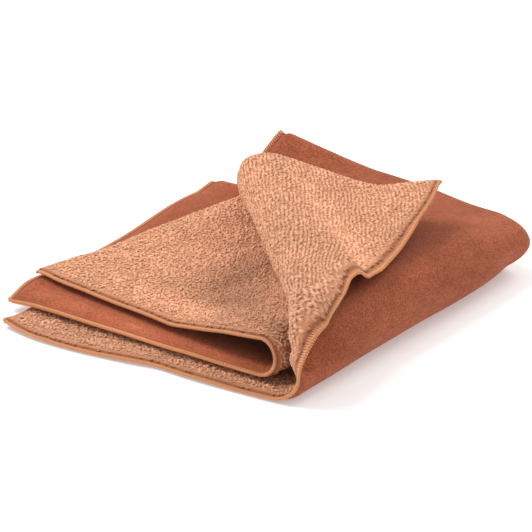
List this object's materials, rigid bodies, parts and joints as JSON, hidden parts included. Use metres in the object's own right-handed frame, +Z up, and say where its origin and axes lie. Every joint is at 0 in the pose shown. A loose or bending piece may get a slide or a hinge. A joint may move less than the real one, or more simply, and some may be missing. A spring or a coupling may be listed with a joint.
{
  "type": "folded cleaning cloth",
  "caption": "Two-sided cleaning cloth, smooth suede on one face and looped pile on the other, folded into a square pad with one corner turned back.",
  "frame": {"origin": "centre of the folded cloth's outline, on the table it lies on", "axes": "+Z up from the table, X along the front edge of the lowest layer, +Y from the front edge to the back fold"},
  "size_m": [0.1698, 0.1852, 0.0463],
  "materials": {
    "suede": "matt brushed suede nap, rust brown",
    "pile": "matt looped pile, peach tan",
    "looper_thread": "soft sheen polyester thread, light orange",
    "needle_thread": "soft sheen polyester thread, orange brown"
  },
  "bodies": {
    "root": {"suede_ply": "suede", "pile_ply": "pile", "looper_threads_left": "looper_thread", "looper_threads_right": "looper_thread", "looper_threads_first": "looper_thread", "looper_threads_last": "looper_thread", "needle_thread_left": "needle_thread", "needle_thread_right": "needle_thread", "needle_thread_first": "needle_thread", "needle_thread_last": "needle_thread"}
  },
  "joints": []
}
